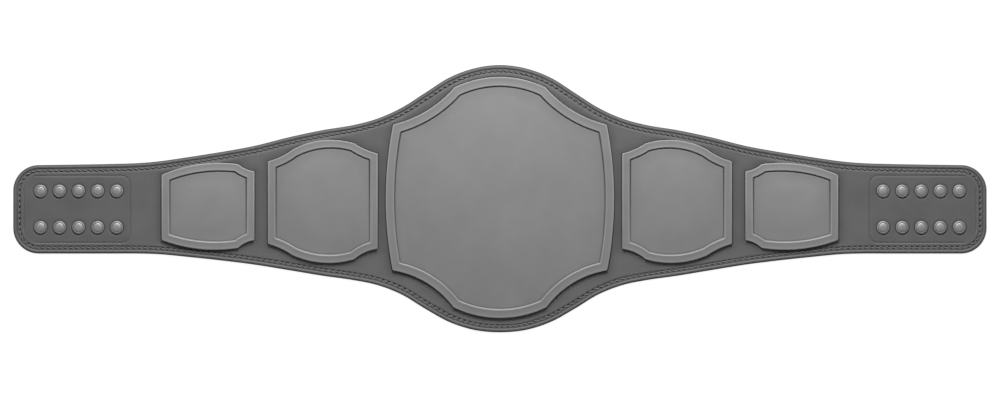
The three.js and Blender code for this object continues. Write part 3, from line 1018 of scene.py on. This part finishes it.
def stitch_line(name, line, stitch, material):
    """Slanting stitches along a closed line, from hole to hole, each a little different."""
    builder = MeshBuilder()
    pitch = stitch["pitch"]
    count = round(outline_length(line) / pitch)
    path = resample(line, count * STITCH_STEPS)
    normals = inward_normals(path)
    gap = (1 - stitch["share"]) / 2
    jitter = np.random.default_rng(len(name) * 7).uniform(-1, 1, (count, 3))
    for i in range(count):
        first = (i * STITCH_STEPS + round(gap * STITCH_STEPS)) % len(path)
        last = (i * STITCH_STEPS + round((1 - gap) * STITCH_STEPS)) % len(path)
        lean = stitch["slant"] * (1 + LEAN_SPREAD * jitter[i, 0])
        aside = ASIDE_SPREAD * pitch * jitter[i, 1]
        start = path[first] + normals[first] * (aside - lean)
        end = path[last] + normals[last] * (aside + lean)
        stitch_run(
            builder,
            np.array([*start, stitch["height"]]),
            np.array([*end, stitch["height"]]),
            stitch["dip"],
            stitch["radius"] * (1 + RADIUS_SPREAD * jitter[i, 2]),
            stitch["flatness"],
        )
    return builder.make(name, material)


# Materials


def new_material(name):
    material = bpy.data.materials.new(name)
    material.use_nodes = True
    nodes = material.node_tree.nodes
    return material, nodes, material.node_tree.links, nodes["Principled BSDF"]


def noise(nodes, links, coordinates, scale, detail=3.0, roughness=0.5):
    node = nodes.new("ShaderNodeTexNoise")
    node.inputs["Scale"].default_value = scale
    node.inputs["Detail"].default_value = detail
    node.inputs["Roughness"].default_value = roughness
    links.new(coordinates, node.inputs["Vector"])
    return node.outputs["Fac"]


def remap(nodes, links, value, low, high, from_low=0.3, from_high=0.7):
    """A value mapped from one range to another, without limits."""
    node = nodes.new("ShaderNodeMapRange")
    node.clamp = False
    node.inputs["From Min"].default_value = from_low
    node.inputs["From Max"].default_value = from_high
    node.inputs["To Min"].default_value = low
    node.inputs["To Max"].default_value = high
    links.new(value, node.inputs["Value"])
    return node.outputs["Result"]


def math_node(nodes, links, operation, first, second):
    node = nodes.new("ShaderNodeMath")
    node.operation = operation
    for socket, value in zip(node.inputs, (first, second)):
        if isinstance(value, (int, float)):
            socket.default_value = value
        else:
            links.new(value, socket)
    return node.outputs["Value"]


def grey(nodes, links, value):
    node = nodes.new("ShaderNodeCombineColor")
    for channel in ("Red", "Green", "Blue"):
        links.new(value, node.inputs[channel])
    return node.outputs["Color"]


def attribute(nodes, name):
    node = nodes.new("ShaderNodeAttribute")
    node.attribute_name = name
    return node.outputs["Fac"]


def object_coordinates(nodes):
    return nodes.new("ShaderNodeTexCoord").outputs["Object"]


def bump(nodes, links, height, strength, distance, normal=None):
    node = nodes.new("ShaderNodeBump")
    node.inputs["Strength"].default_value = strength
    node.inputs["Distance"].default_value = distance
    links.new(height, node.inputs["Height"])
    if normal is not None:
        links.new(normal, node.inputs["Normal"])
    return node.outputs["Normal"]


def leather_material():
    material, nodes, links, shader = new_material("belt_leather")
    where = object_coordinates(nodes)
    clouds = noise(nodes, links, where, 22, 4.0, 0.55)
    fine = noise(nodes, links, where, 900, 3.0, 0.6)
    cells = nodes.new("ShaderNodeTexVoronoi")
    cells.feature = "DISTANCE_TO_EDGE"
    cells.inputs["Scale"].default_value = 620
    links.new(where, cells.inputs["Vector"])
    colour = remap(nodes, links, clouds, 0.113, 0.134)
    colour = math_node(nodes, links, "MULTIPLY", colour, remap(nodes, links, fine, 0.95, 1.05))
    # The tone paints shade and light into the colour: shade in the grooves, holes, pricks and rim
    # channels, shadows round the snaps and plates and light below the plates, besides the darker
    # leather inside the stitched panels
    tone = remap(nodes, links, attribute(nodes, "tone"), 0.35, 1.35, -1, 0.5)
    tone = math_node(nodes, links, "MAXIMUM", tone, 0.08)
    colour = math_node(nodes, links, "MULTIPLY", colour, tone)
    links.new(grey(nodes, links, colour), shader.inputs["Base Color"])
    links.new(remap(nodes, links, clouds, 0.52, 0.62), shader.inputs["Roughness"])
    shader.inputs["Specular IOR Level"].default_value = 0.45
    grain = remap(nodes, links, cells.outputs["Distance"], 0, 1, 0, 0.35)
    normal = bump(nodes, links, grain, 0.35, 0.00012)
    normal = bump(nodes, links, fine, 0.25, 0.00015, normal)
    links.new(normal, shader.inputs["Normal"])
    return material


def plate_material():
    material, nodes, links, shader = new_material("belt_plate_metal")
    where = object_coordinates(nodes)
    clouds = noise(nodes, links, where, 14, 3.0, 0.5)
    smudges = noise(nodes, links, where, 55, 4.0, 0.6)
    grit = noise(nodes, links, where, 1400, 2.0, 0.5)
    # Painted light and shade: the gradient painted over each plate, and the highlights and shade
    # painted along its section
    painted_shading = remap(nodes, links, attribute(nodes, "painted_shading"), 0.88, 1.12, -1, 1)
    tone = remap(nodes, links, attribute(nodes, "tone"), 0.4, 1.3, -1, 0.5)
    colour = remap(nodes, links, clouds, 0.248, 0.268)
    colour = math_node(nodes, links, "MULTIPLY", colour, remap(nodes, links, smudges, 0.985, 1.015))
    colour = math_node(nodes, links, "MULTIPLY", colour, painted_shading)
    colour = math_node(nodes, links, "MULTIPLY", colour, tone)
    links.new(grey(nodes, links, colour), shader.inputs["Base Color"])
    shader.inputs["Metallic"].default_value = 0.35
    links.new(remap(nodes, links, smudges, 0.53, 0.57), shader.inputs["Roughness"])
    links.new(bump(nodes, links, grit, 0.08, 0.0001), shader.inputs["Normal"])
    return material


def fastener_material(name, level, roughness):
    material, nodes, links, shader = new_material(name)
    where = object_coordinates(nodes)
    smudges = noise(nodes, links, where, 240, 3.0, 0.6)
    colour = remap(nodes, links, smudges, level * 0.94, level * 1.06)
    # The tone paints shade on the snaps' skirts, rings and grooves
    tone = remap(nodes, links, attribute(nodes, "tone"), 0.35, 1, -1, 0)
    colour = math_node(nodes, links, "MULTIPLY", colour, tone)
    links.new(grey(nodes, links, colour), shader.inputs["Base Color"])
    shader.inputs["Metallic"].default_value = 0.45
    gloss = remap(nodes, links, smudges, roughness - 0.04, roughness + 0.04)
    links.new(gloss, shader.inputs["Roughness"])
    return material


def thread_material():
    material, nodes, links, shader = new_material("belt_thread")
    along = nodes.new("ShaderNodeUVMap")
    along.uv_map = "along"
    split = nodes.new("ShaderNodeSeparateXYZ")
    links.new(along.outputs["UV"], split.inputs["Vector"])
    twist = math_node(nodes, links, "MULTIPLY", split.outputs["X"], 1.4)
    twist = math_node(nodes, links, "ADD", twist, split.outputs["Y"])
    twist = math_node(nodes, links, "MULTIPLY", twist, 4 * math.pi)
    wave = math_node(nodes, links, "SINE", twist, 0)
    fuzz = noise(nodes, links, object_coordinates(nodes), 1800, 2.0, 0.6)
    colour = remap(nodes, links, wave, 0.18, 0.24, -1, 1)
    colour = math_node(nodes, links, "MULTIPLY", colour, remap(nodes, links, fuzz, 0.9, 1.1))
    links.new(grey(nodes, links, colour), shader.inputs["Base Color"])
    shader.inputs["Roughness"].default_value = 0.6
    links.new(bump(nodes, links, wave, 0.5, 0.0002), shader.inputs["Normal"])
    return material


# Assembly


def settle(piece, slot, *nodes):
    """Rides the piece on the belt's body and hides the solids that it stands for; its slot is not
    used.
    """
    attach(piece, "root")
    if nodes:
        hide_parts(*nodes)


def make_belt():
    leather = leather_material()
    plate_metal = plate_material()
    snap_metal = fastener_material("belt_snap_metal", 0.35, 0.5)
    screw_metal = fastener_material("belt_screw_metal", 0.2, 0.45)
    thread = thread_material()

    settle(make_strap(leather), "leather", "strap")
    for name in PLATE_NAMES:
        settle(make_plate(name, plate_metal), "plate_metal", name)
    for name in SNAP_NAMES:
        make_snap(f"snap_{name}", snap_metal)
        make_rivet(f"snap_back_{name}", SNAP_POST, snap_metal, "snap_metal")
    for name in SCREW_NAMES:
        make_rivet(name, SCREW_POST, screw_metal, "screw_metal")

    outline = strap_outline()
    rim_line = outline + inward_normals(outline) * RIM_STITCH_INSET
    for face in ("front", "back"):
        name = f"rim_stitches_{face}"
        settle(stitch_line(name, rim_line, STITCHES[f"rim_{face}"], thread), "thread")
    for side_name, side in SIDES:
        name = f"panel_stitches_{side_name}"
        settle(stitch_line(name, panel_line(side), STITCHES["panel"], thread), "thread")


def make_snap(node, material):
    seat = node_box(node)[0][2]
    piece = turned(f"belt_{node}", box_middle(node), seat, snap_profile(), SNAP_SIDES, material)
    settle(piece, "snap_metal", node)


def make_rivet(node, post, material, slot):
    """A rivet or screw in the back of the strap: a flat head on a post."""
    low, high = node_box(node)
    profile = rivet_profile((high[0] - low[0]) / 2, post, high[2] - low[2])
    piece = turned(f"belt_{node}", box_middle(node), low[2], profile, RIVET_SIDES, material)
    settle(piece, slot, node)


# Stage, light and camera


def make_stage():
    """A pale floor just below the belt's back."""
    material, _, _, shader = new_material("floor_white")
    shader.inputs["Base Color"].default_value = (0.12, 0.12, 0.12, 1)
    shader.inputs["Roughness"].default_value = 0.9
    shader.inputs["Specular IOR Level"].default_value = 0.1
    shader.inputs["Emission Color"].default_value = (1, 1, 1, 1)
    shader.inputs["Emission Strength"].default_value = 0.93
    corners = [
        (sx * FLOOR_REACH, sy * FLOOR_REACH, 0) for sx, sy in ((-1, -1), (1, -1), (1, 1), (-1, 1))
    ]
    mesh = bpy.data.meshes.new("floor")
    mesh.from_pydata(corners, [], [(0, 1, 2, 3)])
    mesh.materials.append(material)
    floor = bpy.data.objects.new("floor", mesh)
    floor.location.z = -FLOOR_DROP
    bpy.context.scene.collection.objects.link(floor)


def make_light():
    """Even light from all round, a soft key light beyond the upper edge and a small highlight."""
    world = bpy.data.worlds.new("studio")
    world.use_nodes = True
    bpy.context.scene.world = world
    nodes = world.node_tree.nodes
    links = world.node_tree.links
    direction = nodes.new("ShaderNodeTexCoord").outputs["Generated"]
    split = nodes.new("ShaderNodeSeparateXYZ")
    links.new(direction, split.inputs["Vector"])
    level = math_node(nodes, links, "MULTIPLY", split.outputs["Y"], SKY_RISE)
    level = math_node(nodes, links, "ADD", level, SKY_LEVEL)
    links.new(grey(nodes, links, level), nodes["Background"].inputs["Color"])
    nodes["Background"].inputs["Strength"].default_value = 1.0

    add_lamp("key", (0.0, 2.6, 2.35), (1.4, 1.6), 127)
    add_lamp("highlight", (0.0, 0.6, 0.75), (0.3, 0.2), 1.5)


def add_lamp(name, place, size, power):
    """A rectangular soft light aimed at the belt's middle."""
    light = bpy.data.lights.new(name, "AREA")
    light.shape = "RECTANGLE"
    light.size, light.size_y = size
    light.energy = power
    lamp = bpy.data.objects.new(name, light)
    lamp.location = place
    lamp.rotation_mode = "QUATERNION"
    lamp.rotation_quaternion = (-lamp.location).to_track_quat("-Z", "Y")
    lamp.visible_camera = False
    bpy.context.scene.collection.objects.link(lamp)


def make_camera():
    """Straight down on the belt, with the frame of 1000 by 400 pixels of 4/3 mm."""
    camera = bpy.data.cameras.new("camera")
    camera.lens = 200
    camera.sensor_width = 36
    camera.clip_end = 100
    eye = bpy.data.objects.new("camera", camera)
    eye.location = (*FRAME_MIDDLE, FRAME_WIDTH * camera.lens / camera.sensor_width)
    bpy.context.scene.collection.objects.link(eye)
    bpy.context.scene.camera = eye
    bpy.context.scene.view_settings.view_transform = "Standard"


make_camera()
make_stage()
make_light()
make_belt()
